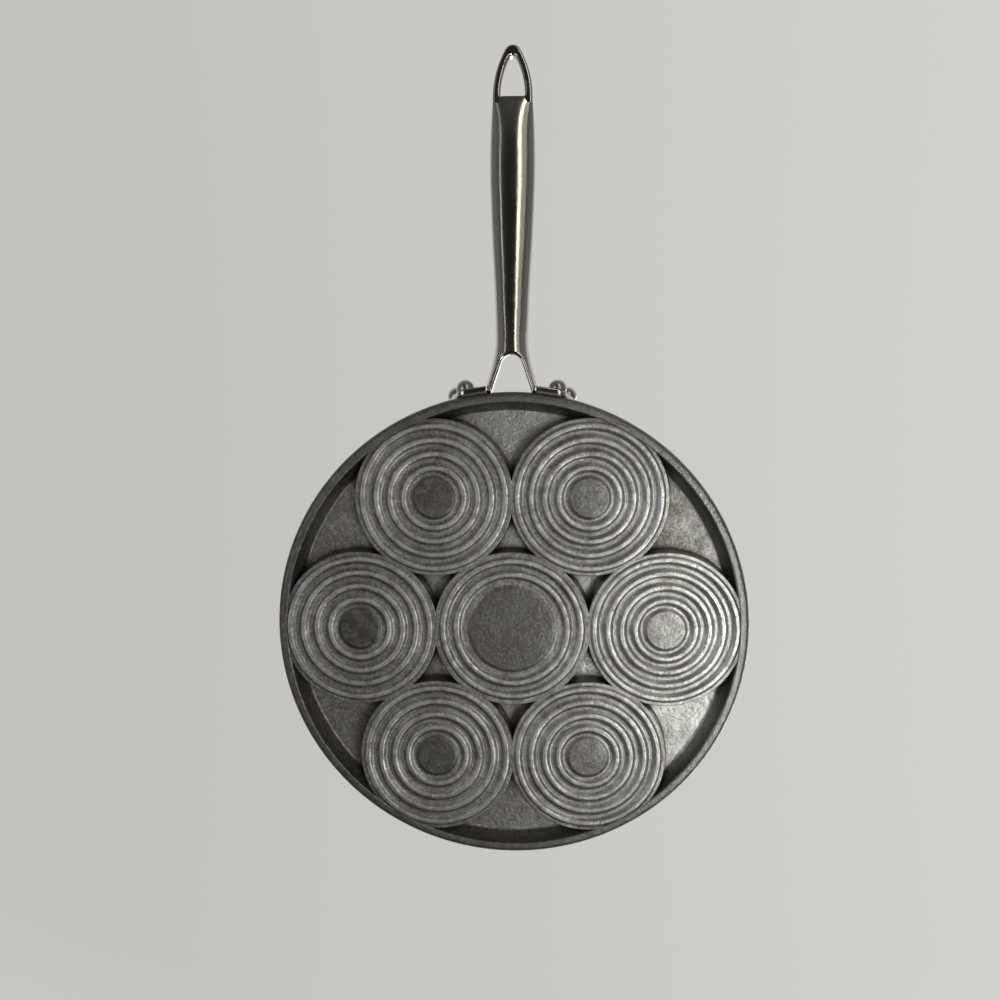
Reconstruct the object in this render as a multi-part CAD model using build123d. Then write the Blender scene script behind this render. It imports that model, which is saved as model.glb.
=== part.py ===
from build123d import *
import math
import os

# A round stovetop waffle pan: one aluminium casting with seven wells, and a
# polished steel handle whose forked foot is riveted to the casting's wall.
# The pan lies as it is used, cooking side up. Z = 0 is the plane of the rings
# that it stands on, the origin is the pan's centre, and the handle is along +Y.
# All sizes are in millimetres and degrees.

# Casting: overall
PAN_DIAMETER = 267.0
PAN_HEIGHT = 28.0
WIDEST_HEIGHT = 4.0
WALL_DRAFT = 10.0
FOOT_CORNER_WIDTH = 2.9

# Casting: skirt, deck and lip; widths are measured inward from the widest line
SKIRT_FOOT_HEIGHT = 0.6
SKIRT_FOOT_WIDTH = 5.4
SKIRT_ROOT_WIDTH = 10.0
WEB_HEIGHT = 10.0
DECK_HEIGHT = 14.0
DECK_EDGE_WIDTH = 6.9
LIP_WIDTH = 2.5
LIP_ROUND = 1.1
FOOT_ROUND = 1.0
ROOT_ROUND = 1.6
DECK_CORNER_ROUND = 1.5

# Casting: the seven wells
WELL_TO_RIM = 47.0
OUTER_WELLS = 6
WELL_FLOOR_HEIGHT = 5.2
WELL_BETWEEN = 9.5
WELL_WALL_WIDTH = 3.0
WELL_FLOOR_ROUND = 2.2
WELL_MOUTH_ROUND = 1.2

# Casting: waffle studs in each well
STUD_PITCH = 10.4
STUD_FOOT = 7.6
STUD_TOP = 5.6
STUD_HEIGHT = 4.2
STUD_INSET = 1.5

# Casting: rings under each well, counted in from the bottom's outer edge
RING_COUNT = 4
RING_PITCH = 7.75
RING_CROWN_WIDTH = 2.0
RING_CROWN_ROUND = 1.5
RING_FLANK_WIDTH = 1.9
RING_FOOT_ROUND = 1.4
GROOVE_DEPTH = 1.3
MOAT_WIDTH = 6.2
BOSS_RECESS = 0.25
BOSS_ROUND = 1.3
BOTTOM_LAND_WIDTH = 4.2
BOTTOM_EDGE_HEIGHT = 0.9
BOTTOM_EDGE_ROUND = 0.5
BOTTOM_OVERLAP = 1.05
BOTTOM_FLANK_WIDTH = 0.6
BOTTOM_FLARE_WIDTH = 0.8
BOTTOM_FLARE_HEIGHT = 1.2
BOTTOM_FLARE_ROUND = 1.6
BOTTOM_SINK = 0.3

# Casting: the middle well's two rings, and the broad boss inside them
MIDDLE_RING_COUNT = 2
MIDDLE_RING_INSET = 0.95
MIDDLE_MOAT_WIDTH = 8.0

# Handle: its axis is an arc that rises away from the pan and levels off
HANDLE_STAND_OFF = 3.5
HANDLE_FOOT_HEIGHT = 12.5
HANDLE_CHORD = 193.0
HANDLE_START_SLOPE = 17.0
HANDLE_END_SLOPE = 9.0

# Handle: sections along its axis, each with its distance from the foot, its
# full width, its depth below and above the axis, and how square it is
HANDLE_SECTIONS = [
    (-8.0, 32.6, 9.4, 9.6, 2.3),
    (0.7, 27.7, 9.2, 9.2, 2.3),
    (9.0, 23.6, 8.8, 8.5, 2.2),
    (20.0, 19.3, 8.0, 7.4, 2.1),
    (34.0, 18.8, 7.0, 6.4, 2.0),
    (56.0, 20.3, 6.9, 5.8, 2.0),
    (80.0, 23.0, 7.0, 5.4, 2.0),
    (106.0, 25.2, 7.0, 5.1, 2.0),
    (130.0, 26.3, 6.8, 4.9, 2.0),
    (148.0, 25.6, 6.1, 4.5, 2.0),
    (160.0, 24.4, 4.6, 3.9, 2.3),
    (168.5, 23.0, 3.2, 3.2, 3.6),
]
SECTION_POINTS = 28

# Handle: hanging loop at the far end
LOOP_START = 168.5
LOOP_LENGTH = 30.8
LOOP_WIDTH = 23.2
LOOP_TIP_RADIUS = 5.1
LOOP_THICKNESS = 6.4
LOOP_BAR_WIDTH = 4.6
LOOP_TIP_BAR = 6.6
LOOP_HOLE_TIP_RADIUS = 2.0
LOOP_EDGE_ROUND = 1.6
LOOP_OVERLAP = 4.0

# Handle: fork between the two legs
FORK_LENGTH = 16.8
FORK_APEX_RADIUS = 5.8
FORK_SPLAY = 18.8
FORK_EDGE_ROUND = 1.5

# Handle: thumb groove along the top
GROOVE_START = 72.0
GROOVE_LENGTH = 84.0
THUMB_GROOVE_DEPTH = 2.2
THUMB_GROOVE_RADIUS = 12.0

# Handle: ears, which bear on two pads of the casting
EAR_LOW_HEIGHT = 2.0
EAR_STAND_OFF = 1.4
EAR_DRAFT = 14.0
EAR_THICKNESS = 2.8
EAR_EDGE_ROUND = 1.0
EAR_FOOT_OFFSET = 14.5
EAR_FOOT_HEIGHTS = (5.0, 21.2)
EAR_FOOT_MARGIN = 3.1
EAR_TIP_OFFSET = 26.6
EAR_TIP_HEIGHT = 6.6
EAR_TIP_MARGIN = 3.6
EAR_RIVET_MARGIN = 0.5
PAD_INSET = 1.6
SEAT_MARGIN = 0.5

# Rivets: two in each ear, one behind and beyond the other; the low ones end
# blind in the thick of the wall, the high ones come through above the deck
RIVET_PLACES = [(25.4, 7.6), (31.2, 20.4)]
RIVET_BLIND_WALL = 2.0
RIVET_SHANK_RADIUS = 2.5
RIVET_HEAD_RADIUS = 4.9
RIVET_HEAD_HEIGHT = 6.2
RIVET_TAIL_FLARE = 0.7
RIVET_TAIL_DEPTH = 1.2
RIVET_HOLE_CLEARANCE = 0.1

# Sizes that follow from those above
PAN_RADIUS = PAN_DIAMETER / 2
LIP_OUTER_RADIUS = PAN_RADIUS - (PAN_HEIGHT - WIDEST_HEIGHT) * math.tan(math.radians(WALL_DRAFT))
LIP_INNER_RADIUS = LIP_OUTER_RADIUS - LIP_WIDTH
SKIRT_FOOT_RADIUS = PAN_RADIUS - SKIRT_FOOT_WIDTH
SKIRT_ROOT_RADIUS = PAN_RADIUS - SKIRT_ROOT_WIDTH
DECK_RADIUS = PAN_RADIUS - DECK_EDGE_WIDTH
WELL_PITCH = PAN_RADIUS - WELL_TO_RIM
WELL_MOUTH_RADIUS = (WELL_PITCH - WELL_BETWEEN) / 2
WELL_FLOOR_RADIUS = WELL_MOUTH_RADIUS - WELL_WALL_WIDTH
BOTTOM_EDGE_RADIUS = WELL_PITCH / 2 + BOTTOM_OVERLAP
RING_LAST_RADIUS = BOTTOM_EDGE_RADIUS - BOTTOM_LAND_WIDTH
EAR_LOW_RADIUS = PAN_RADIUS + EAR_STAND_OFF
HANDLE_FOOT_REACH = PAN_RADIUS + HANDLE_STAND_OFF
FORK_APEX_REACH = HANDLE_FOOT_REACH + FORK_LENGTH
SHELL_REACH = 2 * PAN_RADIUS


def revolved(profile):
    """A full turn about Z of a closed profile drawn as radius and height."""
    return revolve(Plane.XZ * profile, Axis.Z)


def well_centres():
    """The middle well and the six round it; two of the six flank the handle."""
    ring = [
        (
            WELL_PITCH * math.cos(math.radians(60 * i)),
            WELL_PITCH * math.sin(math.radians(60 * i)),
        )
        for i in range(OUTER_WELLS)
    ]
    return [(0.0, 0.0)] + ring


def shell_body():
    """Skirt, deck and lip, one profile turned about the axis."""
    foot = SKIRT_FOOT_HEIGHT
    corner = PAN_RADIUS - FOOT_CORNER_WIDTH
    profile = make_face(
        [
            Line((0, WEB_HEIGHT), (SKIRT_ROOT_RADIUS, WEB_HEIGHT)),
            Line((SKIRT_ROOT_RADIUS, WEB_HEIGHT), (SKIRT_FOOT_RADIUS, foot)),
            Line((SKIRT_FOOT_RADIUS, foot), (corner, foot)),
            EllipticalCenterArc(
                (corner, WIDEST_HEIGHT),
                FOOT_CORNER_WIDTH,
                WIDEST_HEIGHT - foot,
                start_angle=270,
                arc_size=90,
            ),
            Line((PAN_RADIUS, WIDEST_HEIGHT), (LIP_OUTER_RADIUS, PAN_HEIGHT)),
            Line((LIP_OUTER_RADIUS, PAN_HEIGHT), (LIP_INNER_RADIUS, PAN_HEIGHT)),
            Line((LIP_INNER_RADIUS, PAN_HEIGHT), (DECK_RADIUS, DECK_HEIGHT)),
            Line((DECK_RADIUS, DECK_HEIGHT), (0, DECK_HEIGHT)),
            Line((0, DECK_HEIGHT), (0, WEB_HEIGHT)),
        ]
    )

    def corner_at(radius, height):
        return [
            v for v in profile.vertices()
            if abs(v.X - radius) < 0.01 and abs(v.Y - height) < 0.01
        ]

    profile = fillet(corner_at(SKIRT_ROOT_RADIUS, WEB_HEIGHT), ROOT_ROUND)
    profile = fillet(corner_at(SKIRT_FOOT_RADIUS, foot), FOOT_ROUND)
    profile = fillet(corner_at(DECK_RADIUS, DECK_HEIGHT), DECK_CORNER_ROUND)
    profile = fillet(corner_at(LIP_OUTER_RADIUS, PAN_HEIGHT), LIP_ROUND)
    profile = fillet(corner_at(LIP_INNER_RADIUS, PAN_HEIGHT), LIP_ROUND)
    return revolved(profile)


def well_bottom(ring_count, ring_inset, moat_width):
    """The body under one well: a round boss, then rings and grooves out to its edge."""
    half = RING_CROWN_WIDTH / 2
    last = RING_LAST_RADIUS - ring_inset
    rings = [last - i * RING_PITCH for i in reversed(range(ring_count))]
    boss = rings[0] - moat_width
    points = [(0, BOSS_RECESS), (boss, BOSS_RECESS), (boss + RING_FLANK_WIDTH, GROOVE_DEPTH)]
    for ring in rings:
        points += [
            (ring - half - RING_FLANK_WIDTH, GROOVE_DEPTH),
            (ring - half, 0),
            (ring + half, 0),
            (ring + half + RING_FLANK_WIDTH, GROOVE_DEPTH),
        ]
    slope = RING_FLANK_WIDTH / GROOVE_DEPTH
    points[-1] = (last + half + slope * BOTTOM_EDGE_HEIGHT, BOTTOM_EDGE_HEIGHT)
    flare = BOTTOM_EDGE_RADIUS + BOTTOM_FLANK_WIDTH
    root = WEB_HEIGHT - BOTTOM_FLARE_HEIGHT
    top = WEB_HEIGHT + BOTTOM_SINK
    rise = BOTTOM_FLARE_HEIGHT + BOTTOM_SINK / 2
    base = flare + BOTTOM_FLARE_WIDTH * rise / BOTTOM_FLARE_HEIGHT
    points += [(BOTTOM_EDGE_RADIUS, BOTTOM_EDGE_HEIGHT), (flare, root)]
    points += [(base, root + rise), (base, top), (0, top)]
    profile = make_face(Polyline(*points, close=True))

    def corners(height, low=0.0):
        return [
            v for v in profile.vertices() if abs(v.Y - height) < 0.01 and v.X > low
        ]

    profile = fillet(corners(0), RING_CROWN_ROUND)
    profile = fillet(corners(GROOVE_DEPTH), RING_FOOT_ROUND)
    profile = fillet(corners(BOSS_RECESS, boss / 2), BOSS_ROUND)
    profile = fillet(corners(BOTTOM_EDGE_HEIGHT, BOTTOM_EDGE_RADIUS - 0.1), BOTTOM_EDGE_ROUND)
    return revolved(fillet(corners(root), BOTTOM_FLARE_ROUND))


def well_hollow():
    """The space of one well, from its floor up through the deck."""
    above = DECK_HEIGHT + WELL_MOUTH_ROUND
    mouth = WELL_MOUTH_RADIUS
    profile = make_face(
        Polyline(
            (0, WELL_FLOOR_HEIGHT),
            (WELL_FLOOR_RADIUS, WELL_FLOOR_HEIGHT),
            (mouth, DECK_HEIGHT),
            (mouth + 2 * WELL_MOUTH_ROUND, DECK_HEIGHT),
            (mouth + 2 * WELL_MOUTH_ROUND, above),
            (0, above),
            close=True,
        )
    )

    def corner_at(radius):
        return [v for v in profile.vertices() if abs(v.X - radius) < 0.01 and v.Y <= DECK_HEIGHT]

    profile = fillet(corner_at(WELL_FLOOR_RADIUS), WELL_FLOOR_ROUND)
    profile = fillet(corner_at(mouth), WELL_MOUTH_ROUND)
    return revolved(profile)


def waffle_studs():
    """The square studs that stamp the waffle's pockets, for one well."""
    reach = WELL_FLOOR_RADIUS - STUD_INSET
    taper = (STUD_FOOT - STUD_TOP) / 2 / STUD_HEIGHT
    sink = (WELL_FLOOR_HEIGHT - GROOVE_DEPTH) / 2
    root_width = STUD_FOOT + 2 * taper * sink
    root = Plane.XY.offset(WELL_FLOOR_HEIGHT - sink) * Rectangle(root_width, root_width)
    stud = extrude(root, STUD_HEIGHT + sink, taper=math.degrees(math.atan(taper)))
    steps = int(reach // STUD_PITCH)
    places = [
        (i * STUD_PITCH, j * STUD_PITCH)
        for i in range(-steps, steps + 1)
        for j in range(-steps, steps + 1)
        if math.hypot(i * STUD_PITCH, j * STUD_PITCH) <= reach
    ]
    return [Pos(x, y, 0) * stud for x, y in places]


def cone_radius(height):
    """Radius of the ears' inner face at a height."""
    return EAR_LOW_RADIUS - (height - EAR_LOW_HEIGHT) * math.tan(math.radians(EAR_DRAFT))


def cone_shell(inner, outer):
    """A conical layer along the ears' inner face, between two offsets from it."""
    thick = 1 / math.cos(math.radians(EAR_DRAFT))
    low = -PAN_HEIGHT
    high = 2 * PAN_HEIGHT
    return revolved(
        make_face(
            Polyline(
                (cone_radius(low) + inner * thick, low),
                (cone_radius(low) + outer * thick, low),
                (cone_radius(high) + outer * thick, high),
                (cone_radius(high) + inner * thick, high),
                close=True,
            )
        )
    )


def ear_outline(side, margin):
    """Outline of an ear seen from the handle's end, grown by a margin, as a prism."""
    circles = [
        Pos(EAR_FOOT_OFFSET, height) * CenterArc((0, 0), EAR_FOOT_MARGIN + margin, 0, 360)
        for height in EAR_FOOT_HEIGHTS
    ]
    circles += [
        Pos(offset, height)
        * CenterArc((0, 0), RIVET_HEAD_RADIUS + EAR_RIVET_MARGIN + margin, 0, 360)
        for offset, height in RIVET_PLACES
    ]
    circles.append(
        Pos(EAR_TIP_OFFSET, EAR_TIP_HEIGHT) * CenterArc((0, 0), EAR_TIP_MARGIN + margin, 0, 360)
    )
    outline = make_hull(Curve(children=circles).edges())
    if side < 0:
        outline = mirror(outline, Plane.YZ)
    view = Plane(origin=(0, SHELL_REACH, 0), x_dir=(1, 0, 0), z_dir=(0, -1, 0))
    return extrude(view * outline, SHELL_REACH)


def ear(side):
    """One ear: a curved plate with its outer edge rounded, left thick on the inside."""
    plate = ear_outline(side, 0) & cone_shell(-EAR_THICKNESS, EAR_THICKNESS)
    thick = EAR_THICKNESS / math.cos(math.radians(EAR_DRAFT))
    rim = []
    for edge in plate.edges():
        middle = edge @ 0.5
        if abs(math.hypot(middle.X, middle.Y) - cone_radius(middle.Z) - thick) < 0.01:
            rim.append(edge)
    return fillet(rim, EAR_EDGE_ROUND)


def rivet_plane(side, offset, height):
    """Plane on an ear's outer face at a rivet, looking out along the rivet."""
    radius = cone_radius(height) + EAR_THICKNESS / math.cos(math.radians(EAR_DRAFT))
    turn = math.asin(offset / radius)
    draft = math.radians(EAR_DRAFT)
    outward = (
        side * math.sin(turn) * math.cos(draft),
        math.cos(turn) * math.cos(draft),
        math.sin(draft),
    )
    place = (side * offset, radius * math.cos(turn), height)
    return Plane(origin=place, z_dir=outward)


def wall_depth(height):
    """How far a rivet's axis runs from the ear's outer face to the wall's inner face."""
    draft = math.radians(EAR_DRAFT)
    start = cone_radius(height) + EAR_THICKNESS / math.cos(draft)
    if height < WEB_HEIGHT:
        slope = (SKIRT_ROOT_RADIUS - SKIRT_FOOT_RADIUS) / (WEB_HEIGHT - SKIRT_FOOT_HEIGHT)
        wall, base = SKIRT_FOOT_RADIUS, SKIRT_FOOT_HEIGHT
    else:
        slope = (LIP_INNER_RADIUS - DECK_RADIUS) / (PAN_HEIGHT - DECK_HEIGHT)
        wall, base = DECK_RADIUS, DECK_HEIGHT
    return (start - wall - slope * (height - base)) / (math.cos(draft) - slope * math.sin(draft))


def rivet(side, offset, height, grow=0.0):
    """One rivet: domed head and shank, with a flared tail where it comes through."""
    depth = wall_depth(height)
    shank = RIVET_SHANK_RADIUS + grow
    if height < WEB_HEIGHT:
        end = RIVET_BLIND_WALL - depth
        tail = [(0, end), (shank, end)]
    else:
        wide = shank + 2 * RIVET_TAIL_FLARE
        end = -depth - RIVET_TAIL_DEPTH
        tail = [(0, end), (wide, end), (shank, end + 2 * RIVET_TAIL_DEPTH)]
    dome = (RIVET_HEAD_RADIUS**2 + RIVET_HEAD_HEIGHT**2) / (2 * RIVET_HEAD_HEIGHT)
    sunk = dome - RIVET_HEAD_HEIGHT
    edge = math.degrees(math.asin(sunk / dome))
    outline = Polyline((0, RIVET_HEAD_HEIGHT), *tail, (shank, 0), (RIVET_HEAD_RADIUS, 0))
    profile = make_face(
        [*outline.edges(), CenterArc((0, -sunk), dome, edge, 90 - edge)]
    )
    return rivet_plane(side, offset, height) * revolved(profile)


def inner_space():
    """The space inside the wall, below the web and above the deck."""
    below = Polyline(
        (0, WEB_HEIGHT),
        (SKIRT_ROOT_RADIUS, WEB_HEIGHT),
        (SKIRT_FOOT_RADIUS, SKIRT_FOOT_HEIGHT),
        (SKIRT_FOOT_RADIUS, -PAN_HEIGHT),
        (0, -PAN_HEIGHT),
        close=True,
    )
    above = Polyline(
        (0, DECK_HEIGHT),
        (DECK_RADIUS, DECK_HEIGHT),
        (LIP_INNER_RADIUS, PAN_HEIGHT),
        (LIP_INNER_RADIUS, 2 * PAN_HEIGHT),
        (0, 2 * PAN_HEIGHT),
        close=True,
    )
    return revolved(make_face(below)) + revolved(make_face(above))


def handle_frame(distance):
    """Plane across the handle's axis at a distance from its foot; its y is up."""
    start = math.radians(HANDLE_START_SLOPE)
    bend = (
        HANDLE_CHORD / 2 / math.sin(math.radians(HANDLE_START_SLOPE - HANDLE_END_SLOPE) / 2)
    )
    slope = start - distance / bend
    reach = HANDLE_FOOT_REACH + bend * (math.sin(start) - math.sin(slope))
    height = HANDLE_FOOT_HEIGHT + bend * (math.cos(slope) - math.cos(start))
    return Plane(
        origin=(0, reach, height),
        x_dir=(1, 0, 0),
        z_dir=(0, -math.cos(slope), -math.sin(slope)),
    )


def handle_section(distance, width, below, above, squareness):
    """A closed oval across the handle, deeper below its axis than above."""
    points = []
    for i in range(SECTION_POINTS):
        angle = 2 * math.pi * i / SECTION_POINTS
        across = math.copysign(abs(math.cos(angle)) ** (2 / squareness), math.cos(angle))
        up = math.copysign(abs(math.sin(angle)) ** (2 / squareness), math.sin(angle))
        points.append((across * width / 2, up * (above if up > 0 else below)))
    return handle_frame(distance) * make_face(Spline(*points, periodic=True))


def loop_outline(inset, tip_inset, tip_radius, start):
    """Teardrop of the hanging loop, inset from its outer edge, in the loop's plane."""
    half = LOOP_WIDTH / 2 - inset
    tip = LOOP_LENGTH - tip_inset - tip_radius
    side = (half**2 + tip**2 - tip_radius**2) / (2 * (half - tip_radius))
    lean = math.atan2(tip, side - half)
    touch = (tip_radius * math.cos(lean), tip + tip_radius * math.sin(lean))
    lines = [
        Line((-half, start), (half, start)),
        RadiusArc((half, 0), touch, -side),
        ThreePointArc(touch, (0, tip + tip_radius), (-touch[0], touch[1])),
        RadiusArc((-touch[0], touch[1]), (-half, 0), -side),
    ]
    if start < 0:
        lines.append(Line((half, start), (half, 0)))
        lines.append(Line((-half, 0), (-half, start)))
    return make_face(lines)


def loop_body():
    """The flat hanging loop with its teardrop hole and rounded edges."""
    flat = handle_frame(LOOP_START)
    seen = Plane(origin=flat.origin, x_dir=(1, 0, 0), z_dir=flat.y_dir)
    outer = loop_outline(0, 0, LOOP_TIP_RADIUS, -LOOP_OVERLAP)
    hole = loop_outline(LOOP_BAR_WIDTH, LOOP_TIP_BAR, LOOP_HOLE_TIP_RADIUS, 0)
    base_corners = [v for v in hole.vertices() if abs(v.Y) < 0.01]
    hole = fillet(base_corners, LOOP_HOLE_TIP_RADIUS)
    plate = extrude(outer - hole, LOOP_THICKNESS / 2, both=True)
    edges = [
        e for e in plate.edges()
        if abs(abs(e.center().Z) - LOOP_THICKNESS / 2) < 0.01 and e.center().Y > -LOOP_OVERLAP + 0.01
    ]
    return seen * fillet(edges, LOOP_EDGE_ROUND)


def fork_gap():
    """The arched gap between the two legs, cut straight through."""
    splay = math.radians(FORK_SPLAY)
    centre = FORK_APEX_REACH - FORK_APEX_RADIUS
    touch = (FORK_APEX_RADIUS * math.cos(splay), centre + FORK_APEX_RADIUS * math.sin(splay))
    end = HANDLE_FOOT_REACH - 4 * EAR_THICKNESS
    spread = touch[0] + (touch[1] - end) * math.tan(splay)
    outline = make_face(
        [
            Line((-spread, end), (spread, end)),
            Line((spread, end), touch),
            ThreePointArc(touch, (0, FORK_APEX_REACH), (-touch[0], touch[1])),
            Line((-touch[0], touch[1]), (-spread, end)),
        ]
    )
    return extrude(outline, 2 * PAN_HEIGHT, both=True)


def rounded_fork(grip):
    """The grip with the arch's edges rounded, above and below."""
    arch = []
    for edge in grip.edges().filter_by(GeomType.BSPLINE):
        middle = edge @ 0.5
        if abs(middle.X) < 2 * FORK_APEX_RADIUS and middle.Y < FORK_APEX_REACH + 0.01:
            arch.append(edge)
    return fillet(arch, FORK_EDGE_ROUND)


def thumb_groove():
    """A long shallow spindle that hollows the top of the grip."""
    middle = GROOVE_START + GROOVE_LENGTH / 2
    frame = handle_frame(middle)
    top = [above for start, _, _, above, _ in HANDLE_SECTIONS if start >= middle][0]
    rise = top + THUMB_GROOVE_RADIUS - THUMB_GROOVE_DEPTH
    half = GROOVE_LENGTH / 2
    end = THUMB_GROOVE_RADIUS - THUMB_GROOVE_DEPTH
    spindle = make_face(
        [
            ThreePointArc((-half, end), (0, THUMB_GROOVE_RADIUS), (half, end)),
            Line((half, end), (half, 0)),
            Line((half, 0), (-half, 0)),
            Line((-half, 0), (-half, end)),
        ]
    )
    along = Plane(origin=frame.origin + frame.y_dir * rise, x_dir=frame.z_dir, z_dir=frame.x_dir)
    return along * revolve(spindle, Axis.X)


def pan_casting(rivet_cuts):
    body = shell_body()
    places = well_centres()
    outer_bottom = well_bottom(RING_COUNT, 0, MOAT_WIDTH)
    middle_bottom = well_bottom(MIDDLE_RING_COUNT, MIDDLE_RING_INSET, MIDDLE_MOAT_WIDTH)
    body += Pos(*places[0], 0) * middle_bottom
    body += [Pos(x, y, 0) * outer_bottom for x, y in places[1:]]
    hollow = well_hollow()
    body -= [Pos(x, y, 0) * hollow for x, y in places]
    studs = waffle_studs()
    body += [Pos(x, y, 0) * stud for x, y in places for stud in studs]
    pad_depth = EAR_LOW_RADIUS - DECK_RADIUS - LIP_WIDTH / 2
    layer = cone_shell(-pad_depth, 0)
    room = inner_space()
    for side in (-1, 1):
        body += (ear_outline(side, -PAD_INSET) & layer) - room
        body -= ear_outline(side, SEAT_MARGIN) & cone_shell(0, 2 * EAR_THICKNESS)
    return body - rivet_cuts


def handle(rivet_cuts):
    grip = loft([handle_section(*section) for section in HANDLE_SECTIONS])
    body = rounded_fork(grip - fork_gap()) - thumb_groove() + loop_body()
    for side in (-1, 1):
        body += ear(side)
    body -= cone_shell(-PAN_RADIUS / 2, 0)
    return body - rivet_cuts


def write(name, *solids):
    """Write one node's solids to its own STEP file."""
    shape = solids[0] if len(solids) == 1 else Compound(children=list(solids))
    export_step(shape, f"parts/{name}.step")
    print(name, "volume", round(sum(s.volume for s in solids) / 1000, 1), "cm3")


def build():
    os.makedirs("parts", exist_ok=True)
    spots = [(side, *place) for side in (-1, 1) for place in RIVET_PLACES]
    room = inner_space()
    rivets = [rivet(*spot) - room for spot in spots]
    casting_cuts = [rivet(*spot) for spot in spots]
    handle_cuts = [rivet(*spot, grow=RIVET_HOLE_CLEARANCE) for spot in spots]
    write("pan_casting", pan_casting(casting_cuts))
    write("handle", handle(handle_cuts))
    write("handle_rivets", *rivets)


if __name__ == "__main__":
    build()
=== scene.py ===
# %% [markdown]
# # A cast aluminium waffle pan with a polished steel handle
#
# This lesson dresses a finished CAD model of a stovetop waffle pan. The shapes are
# already right, so the work here is in the metals, the light and the camera. The pan
# is used cooking side up, but the picture to match looks at it from below, at the
# ringed bottoms of its seven wells, so the camera ends up under the pan.

# %% Load the pan as a fixed frame
import math

import bpy
from mathutils import Matrix, Vector

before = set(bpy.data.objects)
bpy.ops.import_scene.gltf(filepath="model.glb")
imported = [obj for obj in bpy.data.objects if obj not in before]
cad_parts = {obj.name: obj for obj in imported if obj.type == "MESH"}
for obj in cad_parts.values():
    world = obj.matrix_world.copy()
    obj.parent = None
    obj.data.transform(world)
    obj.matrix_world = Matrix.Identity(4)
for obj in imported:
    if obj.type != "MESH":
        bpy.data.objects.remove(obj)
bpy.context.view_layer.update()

print("pieces:", ", ".join(sorted(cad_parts)))

# %% [markdown]
# ## Small helpers
#
# Colours are written the way a painter picks them, as sRGB hex values. Blender's
# shaders work with linear light, so one function converts them. A second function
# adds a shader node: its own settings go in as keywords, and its sockets take either
# a plain value or a link from another node. The rest are short names for the nodes
# that every material needs most. Blender counts in metres, but the sizes of patterns
# are given in millimetres, because that is how one judges them on a pan.

# %% Hex colour to linear light
def colour(hex_value):
    """Turn an sRGB hex value such as 'A09C96' into linear red, green, blue and alpha."""
    channels = [int(hex_value[i:i + 2], 16) / 255 for i in (0, 2, 4)]
    linear = [c / 12.92 if c <= 0.04045 else ((c + 0.055) / 1.055) ** 2.4 for c in channels]
    return (*linear, 1.0)


print("mid grey 808080 in linear light:", round(colour("808080")[0], 3))

# %% Add one shader node
MM = 0.001


def add_node(tree, kind, sockets=None, **settings):
    """Add a node with its settings, and fill its sockets with values or links."""
    node = tree.nodes.new("ShaderNode" + kind)
    for name, value in settings.items():
        setattr(node, name, value)
    for socket, value in (sockets or {}).items():
        if isinstance(value, bpy.types.NodeSocket):
            tree.links.new(value, node.inputs[socket])
        else:
            node.inputs[socket].default_value = value
    return node


def new_material(name):
    """Start an empty material, and return it with its node tree."""
    material = bpy.data.materials.new(name)
    material.use_nodes = True
    material.node_tree.nodes.clear()
    return material, material.node_tree


print("one millimetre is", MM, "of a Blender unit")

# %% Patterns and changes of range
def noise(tree, place, size, detail, roughness):
    """Noise from 0 to 1 in blotches of about this many millimetres."""
    sockets = {"Vector": place, "Scale": 1 / (size * MM), "Detail": detail,
               "Roughness": roughness}
    return add_node(tree, "TexNoise", sockets).outputs["Fac"]


def openness(tree, reach, **settings):
    """From 0 in a tight corner to 1 in the open, judged within this many millimetres."""
    sockets = {"Distance": reach * MM}
    return add_node(tree, "AmbientOcclusion", sockets, samples=8, **settings).outputs["AO"]


def remap(tree, value, low, high, first=0.0, last=1.0, curve="LINEAR"):
    """Turn low..high into first..last, held at the ends."""
    sockets = {0: value, 1: low, 2: high, 3: first, 4: last}
    return add_node(tree, "MapRange", sockets, interpolation_type=curve).outputs[0]


print("helpers: noise, openness, remap")

# %% Mixing and arithmetic
def blend(tree, share, first, second):
    """Mix two colours, each a hex value or a socket, by a share from 0 to 1."""
    first, second = [colour(c) if isinstance(c, str) else c for c in (first, second)]
    return add_node(tree, "Mix", {0: share, 6: first, 7: second}, data_type="RGBA").outputs[2]


def work_out(tree, operation, first, second, third=0.0):
    """One step of arithmetic, such as SUBTRACT, MAXIMUM or MULTIPLY_ADD."""
    sockets = {0: first, 1: second, 2: third}
    return add_node(tree, "Math", sockets, operation=operation).outputs[0]


def product(tree, first, *others):
    """Multiply values. Masks multiplied give the mask of where all of them hold."""
    for other in others:
        first = work_out(tree, "MULTIPLY", first, other)
    return first


def add_up(tree, start, *parts):
    """Start from a value and add each part, a value with its weight."""
    for value, weight in parts:
        start = work_out(tree, "MULTIPLY_ADD", value, weight, start)
    return start


print("helpers: blend, work_out, product, add_up")

# %% Surfaces
def relief(tree, pattern, strength, depth):
    """Tilt a surface as if the pattern stood this many millimetres high on it."""
    sockets = {"Height": pattern, "Strength": strength, "Distance": depth * MM}
    return add_node(tree, "Bump", sockets).outputs[0]


def surface(tree, base, roughness, tilt, metallic=1.0):
    """A surface of one base colour, roughness and tilt; metal unless told otherwise."""
    sockets = {"Base Color": base, "Metallic": metallic, "Roughness": roughness, "Normal": tilt}
    return add_node(tree, "BsdfPrincipled", sockets).outputs[0]


print("helpers: relief, surface")

# %% [markdown]
# ## Camera
#
# The camera was worked out from the ellipses that the pan's rim and its seven ringed
# bottoms make in the photograph. It stands half a metre under the pan, a little
# towards the handle, and looks up at it almost squarely. A lens as long as the sensor
# is wide gives the photograph's perspective.

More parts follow.
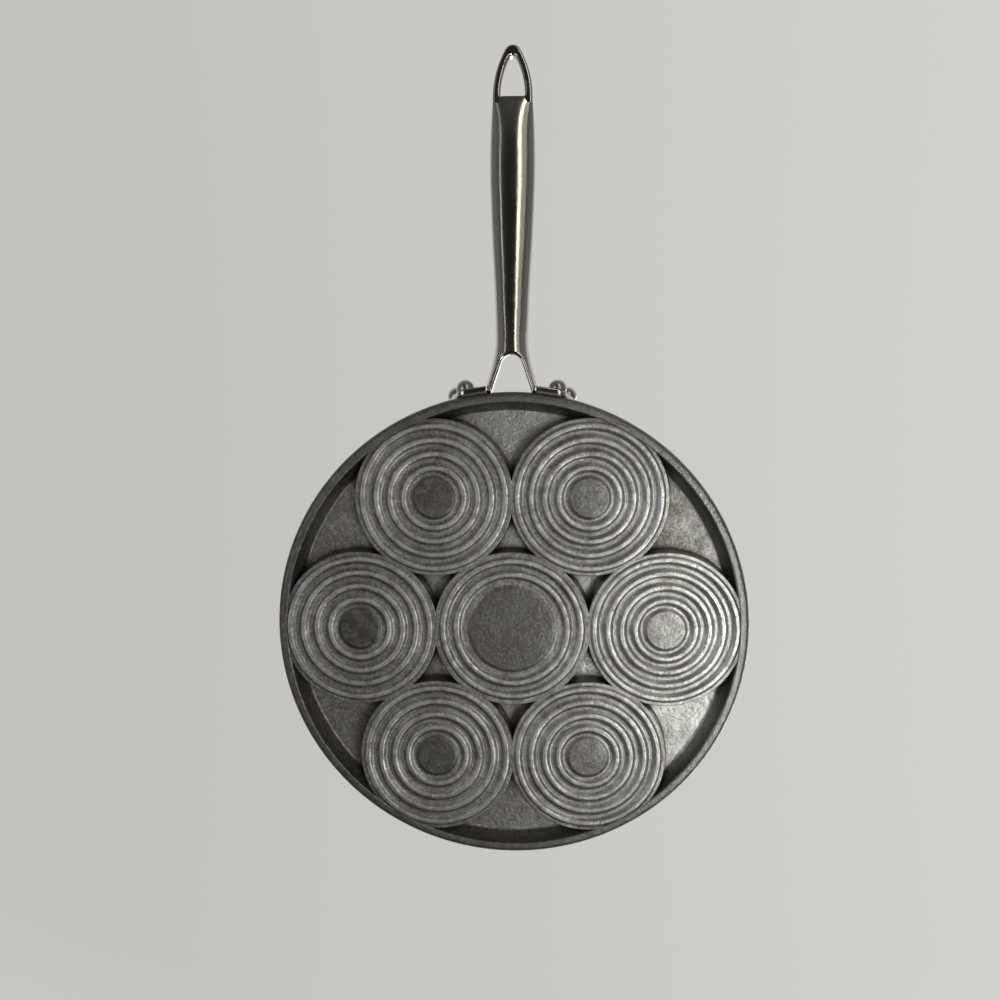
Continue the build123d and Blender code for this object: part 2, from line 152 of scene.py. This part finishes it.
# %% Make the camera
CAMERA_PLACE = (-0.01644, 0.14627, -0.55025)
CAMERA_LOOK = (0.0410, -0.1304, 0.9906)
CAMERA_UP = (0.0007, 0.9915, 0.1305)
SENSOR_MM = 36.0

camera_data = bpy.data.cameras.new("photo_camera")
camera_data.lens = SENSOR_MM
camera_data.sensor_width = SENSOR_MM
camera_data.clip_start = 0.01
camera_data.clip_end = 50.0
camera = bpy.data.objects.new("photo_camera", camera_data)
bpy.context.scene.collection.objects.link(camera)
look = Vector(CAMERA_LOOK).normalized()
right = look.cross(Vector(CAMERA_UP)).normalized()
up = right.cross(look).normalized()
turn = Matrix((right, up, -look)).transposed().to_4x4()
camera.matrix_world = Matrix.Translation(CAMERA_PLACE) @ turn
bpy.context.scene.camera = camera
bpy.context.scene.view_settings.view_transform = "Standard"
print("camera under the pan, in mm:", [round(1000 * c) for c in camera.location])

# %% [markdown]
# ## Floor
#
# The pan lies on a pale floor. The floor is one-sided: it shows only from above, so a
# camera under the pan looks straight through it. It is shown to the camera alone, and
# the room's light reaches the metal as if it were not there. It has a round hole
# under the pan, where nobody can look, because the rings stand exactly in its plane.
# Far out it fades away, and the pale room takes its place.

# %% Paint for the floor
FADE_BEGINS = 0.5
FADE_ENDS = 2.4

floor_paint, floor_tree = new_material("pale_matt_floor")
floor_side = add_node(floor_tree, "NewGeometry")
floor_place = add_node(floor_tree, "TexCoord").outputs["Object"]
far_out = add_node(floor_tree, "VectorMath", {0: floor_place}, operation="LENGTH")
faded = remap(floor_tree, far_out.outputs["Value"], FADE_BEGINS, FADE_ENDS)
unseen = work_out(floor_tree, "MAXIMUM", faded, floor_side.outputs["Backfacing"])
matt = add_node(floor_tree, "BsdfDiffuse", {"Color": colour("D6D6D2")})
clear = add_node(floor_tree, "BsdfTransparent")
floor_mix = add_node(floor_tree, "MixShader",
                     {0: unseen, 1: matt.outputs[0], 2: clear.outputs[0]})
add_node(floor_tree, "OutputMaterial", {"Surface": floor_mix.outputs[0]})
print("floor fades out from", FADE_BEGINS, "m to", FADE_ENDS, "m")

# %% Make the floor
FLOOR_RADIUS = 2.6
HOLE_RADIUS = 129.5 * MM
FLOOR_STEPS = 96

angles = [2 * math.pi * i / FLOOR_STEPS for i in range(FLOOR_STEPS)]
points = [(radius * math.cos(angle), radius * math.sin(angle), 0)
          for radius in (FLOOR_RADIUS, HOLE_RADIUS) for angle in angles]
faces = []
for i in range(FLOOR_STEPS):
    following = (i + 1) % FLOOR_STEPS
    faces.append((i, following, FLOOR_STEPS + following, FLOOR_STEPS + i))
floor_mesh = bpy.data.meshes.new("floor")
floor_mesh.from_pydata(points, [], faces)
floor_mesh.materials.append(floor_paint)
floor = bpy.data.objects.new("floor", floor_mesh)
bpy.context.scene.collection.objects.link(floor)
floor.visible_diffuse = floor.visible_glossy = floor.visible_shadow = False
print("floor faces", "up" if floor_mesh.polygons[0].normal.z > 0 else "down")

# %% [markdown]
# ## Light
#
# Metal has hardly any colour of its own; what one sees is the room in it. So the world
# here is nearly dark straight below, where the camera stands, dim at the sides and
# pale above. Past the pan the camera sees a pale backdrop in its place, whose
# brightness doesn't light anything; it is palest straight up and greyer towards the
# camera's left, a painted shade.
#
# Six soft lamps draw the highlights. Two tall ones stand beyond the handle's end, to
# the camera's right, and light it like a window; a narrow strip on the other side
# draws the thin line along its left edge. Two low ones light the ringed bottoms from
# the right and, more weakly, from the left. The last hangs over the pan for anyone
# who looks at it from above.

# %% The room as a world
LIGHT_FROM_BELOW = 0.02
LIGHT_FROM_SIDES = 0.22
MORE_FROM_ABOVE = 0.6

world = bpy.data.worlds.new("studio_room")
bpy.context.scene.world = world
world.use_nodes = True
room = world.node_tree
room.nodes.clear()
direction = add_node(room, "TexCoord").outputs["Generated"]
sideways, _, upwards = add_node(room, "SeparateXYZ", {0: direction}).outputs
below = remap(room, upwards, -0.85, -0.15, LIGHT_FROM_BELOW, LIGHT_FROM_SIDES,
              curve="SMOOTHSTEP")
above = remap(room, upwards, 0.1, 0.6, 0.0, MORE_FROM_ABOVE, curve="SMOOTHSTEP")
level = work_out(room, "ADD", below, above)
seen = add_node(room, "LightPath").outputs["Is Camera Ray"]
strength = add_node(room, "Mix", {0: seen, 2: level, 3: 1.0}, data_type="FLOAT").outputs[0]
overhead = remap(room, upwards, 0.45, 0.8)
# The backdrop greys towards the camera's left: painted shade on the backdrop.
backdrop_side_shade = remap(room, sideways, 0.45, -0.45)
backdrop = blend(room, overhead, "E0E0DC", blend(room, backdrop_side_shade, "BFC1BC", "D2D2CC"))
tint = blend(room, seen, "F6F7F4", backdrop)
sky = add_node(room, "Background", {"Color": tint, "Strength": strength})
add_node(room, "OutputWorld", {"Surface": sky.outputs[0]})
print("room light: dark below, pale above")

# %% Soft lamps
RIGHT_OF_MIDDLE = (-0.03, 0.0, 0.0)
LEFT_OF_MIDDLE = (0.03, 0.0, 0.0)
NEAR_MIDDLE = (0.0, 0.05, 0.0)
HANDLE_FOOT = (0.0, 0.15, 0.0)


def soft_lamp(name, place, target, size, watts, hex_value):
    """A rectangular soft box, aimed at a point, with its height along the pan's Y axis."""
    data = bpy.data.lights.new(name, "AREA")
    data.shape = "RECTANGLE"
    data.size, data.size_y = size
    data.energy = watts
    data.color = colour(hex_value)[:3]
    lamp = bpy.data.objects.new(name, data)
    place, target = Vector(place), Vector(target)
    away = (place - target).normalized()
    side = Vector((0, 1, 0)).cross(away).normalized()
    aim = Matrix((side, away.cross(side), away)).transposed().to_4x4()
    lamp.matrix_world = Matrix.Translation(place) @ aim
    bpy.context.scene.collection.objects.link(lamp)
    return lamp


lamps = [
    soft_lamp("window_right", (-0.42, 0.9, -1.0), HANDLE_FOOT, (0.2, 1.2), 1.8, "FFFBF0"),
    soft_lamp("window_side", (-0.8, 0.9, -1.0), HANDLE_FOOT, (0.5, 1.2), 0.9, "F6F4E4"),
    soft_lamp("low_lamp_right", (-0.5, -0.25, -0.9), RIGHT_OF_MIDDLE, (0.4, 0.7), 5.6, "FFFFFC"),
    soft_lamp("low_lamp_left", (0.75, 0.1, -0.9), LEFT_OF_MIDDLE, (0.5, 0.9), 2.6, "F4F8FF"),
    soft_lamp("strip_left", (1.0, 1.0, -1.0), HANDLE_FOOT, (0.1, 0.9), 0.3, "F4F8FF"),
    soft_lamp("lamp_above", (-0.5, -0.4, 1.3), NEAR_MIDDLE, (0.9, 0.9), 14.0, "FFFDF8"),
]
for lamp in lamps:
    print(lamp.name, round(lamp.data.energy, 1), "W")

# %% [markdown]
# ## Cast aluminium
#
# The pan is one pour of aluminium. Its underside was never coated: the rough skin of
# the mould is still there, dulled grey by the hob, with streaks round the rings, brown
# residue baked into the corners, darkened further there with painted shade, and the
# ring crowns rubbed bright where they slide on the hob. The cooking side is sprayed
# with a dark non-stick coat. Both finishes belong to one piece of metal, so one
# material holds them and tells them apart by where a point lies on the pan.
#
# What happened to the metal is told by masks. A mask is a share from 0 to 1, and the
# masks are laid out on the pan in millimetres: `across` runs from the camera's right,
# where the lamps stand and the metal is painted cleaner and brighter, partly painted
# light, to its left, painted more burnt and darker, partly painted shade. `along` runs
# towards the handle and `height` runs up to the cooking side. Noise breaks their edges up.

# %% Where on the pan a point lies
WELL_PITCH = 86.5 * MM
OUTER_WELLS = 6

turns = [math.radians(360 / OUTER_WELLS * k) for k in range(OUTER_WELLS)]
centres = [(0.0, 0.0)] + [(WELL_PITCH * math.cos(a), WELL_PITCH * math.sin(a)) for a in turns]
cast, cast_tree = new_material("cast_aluminium_heat_worn")
cast_place = add_node(cast_tree, "TexCoord").outputs["Object"]
across, along, height = add_node(cast_tree, "SeparateXYZ", {0: cast_place}).outputs
level_place = add_node(cast_tree, "VectorMath", {0: cast_place, 1: (1, 1, 0)},
                       operation="MULTIPLY").outputs[0]
from_axis = add_node(cast_tree, "VectorMath", {0: level_place},
                     operation="LENGTH").outputs["Value"]
from_well = None
for x, y in centres:
    away = add_node(cast_tree, "VectorMath", {0: level_place, 1: (x, y, 0)},
                    operation="DISTANCE").outputs["Value"]
    from_well = away if from_well is None else work_out(cast_tree, "MINIMUM", from_well, away)


def where(value, low, high, first=0.0, last=1.0):
    """A mask that goes from first to last between two distances given in millimetres."""
    return remap(cast_tree, value, low * MM, high * MM, first, last)


print("wells found by their centres:", len(centres))

# %% Which side is coated
WELL_EDGE = 41 * MM
WELL_FLOOR = 3.2 * MM
DECK_EDGE = 128.2 * MM
DECK_LEVEL = 12 * MM

well_side = product(cast_tree, work_out(cast_tree, "LESS_THAN", from_well, WELL_EDGE),
                    work_out(cast_tree, "GREATER_THAN", height, WELL_FLOOR))
deck_side = product(cast_tree, work_out(cast_tree, "LESS_THAN", from_axis, DECK_EDGE),
                    work_out(cast_tree, "GREATER_THAN", height, DECK_LEVEL))
coated = work_out(cast_tree, "MAXIMUM", well_side, deck_side)
print("coat begins 12 mm up between the wells and 3.2 mm up in them")

# %% Parts of the underside
outer_boss = where(from_well, 11.6, 12.8, 1.0, 0.0)
middle_boss = where(from_axis, 23.2, 24.6, 1.0, 0.0)
boss = work_out(cast_tree, "MAXIMUM", outer_boss, middle_boss)
web = where(height, 8.5, 9.5)
# The first patch lifts the webs near the middle, towards the handle, as painted light; the
# second darkens the web on the camera's right, towards the handle, as painted shade.
web_painted_light = product(cast_tree, web, where(across, 60, -10), where(across, -90, -60),
                    where(along, -110, -20))
web_painted_shade = product(cast_tree, web, where(across, -45, -75), where(along, 20, 45))
outside = product(cast_tree, where(from_axis, 129, 131), where(height, 1, 4))
foot = product(cast_tree, where(from_axis, 122, 127, 0.0, 0.6), where(height, 2, 8, 1.0, 0.3))
print("parts: bosses, webs between the bottoms, outer wall, foot")

# %% Patterns in the metal
STREAK_STRETCH = 0.07
NOISE_MIDDLE = 0.5

clouds = noise(cast_tree, cast_place, size=28, detail=5.0, roughness=0.6)
mottle = noise(cast_tree, cast_place, size=7, detail=6.0, roughness=0.66)
grains = noise(cast_tree, cast_place, size=1.5, detail=6.0, roughness=0.65)
streak_place = add_node(cast_tree, "CombineXYZ", {
    0: from_well, 1: product(cast_tree, across, STREAK_STRETCH),
    2: product(cast_tree, along, STREAK_STRETCH)}).outputs[0]
streaky = work_out(cast_tree, "SUBTRACT", where(from_well, 44, 46, 1.0, 0.25), boss)
streaks = noise(cast_tree, streak_place, size=1.5, detail=4.0, roughness=0.65)
streaks = work_out(cast_tree, "SUBTRACT", streaks, NOISE_MIDDLE)
streaks = product(cast_tree, streaks, streaky)
print("patterns: clouds, mottle, grains and streaks round each well")

# %% How burnt and how dirty the bare metal is, with painted light and shade
UNBURNT, FULLY_BURNT = -0.22, 1.2

# Cleaner on the camera's right, where the lamps stand, and more burnt on its left: partly real
# burn, partly painted light and painted shade by side.
clean_lit_side = where(across, -10, -105)
burnt_shaded_side = where(across, 30, 110)
burn_and_painted_light = add_up(cast_tree, -0.35, (clouds, 1.1), (mottle, 1.5), (streaks, 2.0), (boss, 0.25),
               (clean_lit_side, -0.8), (burnt_shaded_side, 0.25), (web_painted_light, -0.6), (web_painted_shade, 0.65))
burn_and_painted_light = remap(cast_tree, burn_and_painted_light, UNBURNT, FULLY_BURNT)
# Ambient occlusion darkens the corners and the feet of the ring flanks: real baked residue and
# painted shade together.
corners = openness(cast_tree, reach=5, only_local=True)
corner_dirt_and_shade = remap(cast_tree, corners, 0.35, 0.88, 1.0, 0.0)
baked_residue_and_shade = product(cast_tree, corner_dirt_and_shade, remap(cast_tree, mottle, 0.3, 0.6, 0.5, 0.8))
# The bosses are sooty and darker towards the camera's left, a painted shade on that side; the
# foot is sooty all round.
soot_and_side_shade = product(cast_tree, boss, where(across, 90, -90, 0.85, 0.0))
soot_and_side_shade = work_out(cast_tree, "MAXIMUM", soot_and_side_shade, foot)
print("masks: burnt, dirt, baked, sooty")

# %% How pitted and how rubbed the bare metal is
calm = add_up(cast_tree, 1.0, (outside, -0.7))
pitted = product(cast_tree, remap(cast_tree, grains, 0.54, 0.64, 0.0, 0.38), calm)
bright = product(cast_tree, remap(cast_tree, grains, 0.47, 0.37, 0.0, 0.38), calm)
rubbed = product(cast_tree, where(height, 0.02, 0.25, 0.65, 0.0),
                 where(from_well, 44, 45, 1.0, 0.1),
                 remap(cast_tree, mottle, 0.62, 0.45, 0.3, 1.0))
print("masks: pitted, bright, rubbed")

# %% Colour of the bare metal
oxide_kind = noise(cast_tree, cast_place, size=16, detail=2.0, roughness=0.5)
oxide = blend(cast_tree, remap(cast_tree, oxide_kind, 0.4, 0.6), "72746E", "746B65")
soot = blend(cast_tree, remap(cast_tree, mottle, 0.34, 0.66), "232221", "6C6966")
bare = blend(cast_tree, burn_and_painted_light, "BEBEBA", oxide)
# The baked residue colour is laid where the corners are tight, so it carries painted shade as
# well.
for mask, paint in ((bright, "BDBDB9"), (soot_and_side_shade, soot), (pitted, "403D39"),
                    (baked_residue_and_shade, "37342F"), (rubbed, "C6C6C2")):
    bare = blend(cast_tree, mask, bare, paint)
print("colours: clean silver, two oxides, soot, pits, baked residue and rubbed crowns")

# %% Cast skin and the coat, in one shader
COAT_ROUGHNESS = 0.38

skin = add_up(cast_tree, grains, (mottle, 2.0), (streaks, 0.7))
bare_rough = add_up(cast_tree, remap(cast_tree, burn_and_painted_light, 0.0, 1.0, 0.3, 0.5),
                    (corner_dirt_and_shade, 0.18), (rubbed, -0.1))
skin_relief = relief(cast_tree, skin, strength=0.8, depth=0.28)
bare_metal = surface(cast_tree, bare, bare_rough, skin_relief)
spray = noise(cast_tree, cast_place, size=0.9, detail=3.0, roughness=0.5)
spray_relief = relief(cast_tree, spray, strength=0.2, depth=0.05)
coat = surface(cast_tree, blend(cast_tree, clouds, "2A2A2B", "3A3938"), COAT_ROUGHNESS,
               spray_relief, metallic=0.0)
both = add_node(cast_tree, "MixShader", {0: coated, 1: bare_metal, 2: coat})
add_node(cast_tree, "OutputMaterial", {"Surface": both.outputs[0]})
print("cast material has", len(cast_tree.nodes), "nodes")

# %% [markdown]
# ## Polished stainless steel
#
# The handle is a casting of stainless steel, ground and polished along its length.
# Polished steel is a mirror with a little haze: the polishing belt leaves fine lines
# along the handle, and hands leave faint smudges. The lines are drawn about 0.4 mm
# apart, because real ones are too fine to show.

# %% Make the handle's steel
LINE_STRETCH = 0.02

steel, steel_tree = new_material("polished_stainless_steel")
steel_place = add_node(steel_tree, "TexCoord").outputs["Object"]
drawn_out = add_node(steel_tree, "Mapping",
                     {"Vector": steel_place, "Scale": (1.0, LINE_STRETCH, 1.0)}).outputs[0]
belt = noise(steel_tree, drawn_out, size=0.4, detail=3.0, roughness=0.7)
smudge = noise(steel_tree, steel_place, size=22, detail=5.0, roughness=0.6)
haze = remap(steel_tree, smudge, 0.35, 0.7, 0.1, 0.2)
steel_tone = blend(steel_tree, smudge, "C8C5BE", "B0ACA3")
belt_relief = relief(steel_tree, belt, strength=0.12, depth=0.015)
steel_shader = surface(steel_tree, steel_tone, haze, belt_relief)
add_node(steel_tree, "OutputMaterial", {"Surface": steel_shader})
print("handle steel has", len(steel_tree.nodes), "nodes")

# %% [markdown]
# ## Rivet metal
#
# The four rivets were closed by a press, which leaves their heads smooth but satin,
# a shade duller than the handle, darkened with grime and painted shade where the
# head meets the ear.

# %% Make the rivets' metal
rivet, rivet_tree = new_material("satin_rivet_metal")
rivet_place = add_node(rivet_tree, "TexCoord").outputs["Object"]
dents = noise(rivet_tree, rivet_place, size=1.8, detail=4.0, roughness=0.6)
# Ambient occlusion darkens the head where it meets the ear: painted shade, with grime.
grime_and_shade = remap(rivet_tree, openness(rivet_tree, reach=3), 0.35, 0.85, 0.8, 0.0)
worn = blend(rivet_tree, dents, "B4B2AD", "8F8C86")
satin = remap(rivet_tree, dents, 0.3, 0.7, 0.22, 0.36)
dent_relief = relief(rivet_tree, dents, strength=0.15, depth=0.06)
rivet_shader = surface(rivet_tree, blend(rivet_tree, grime_and_shade, worn, "3E3A34"), satin, dent_relief)
add_node(rivet_tree, "OutputMaterial", {"Surface": rivet_shader})
print("rivet metal has", len(rivet_tree.nodes), "nodes")

# %% Give each piece its finish
finishes = {"pan_casting": cast, "handle": steel, "handle_rivets": rivet}
for piece, finish in finishes.items():
    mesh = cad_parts[piece].data
    mesh.materials.clear()
    mesh.materials.append(finish)
    print(piece, "is", finish.name)
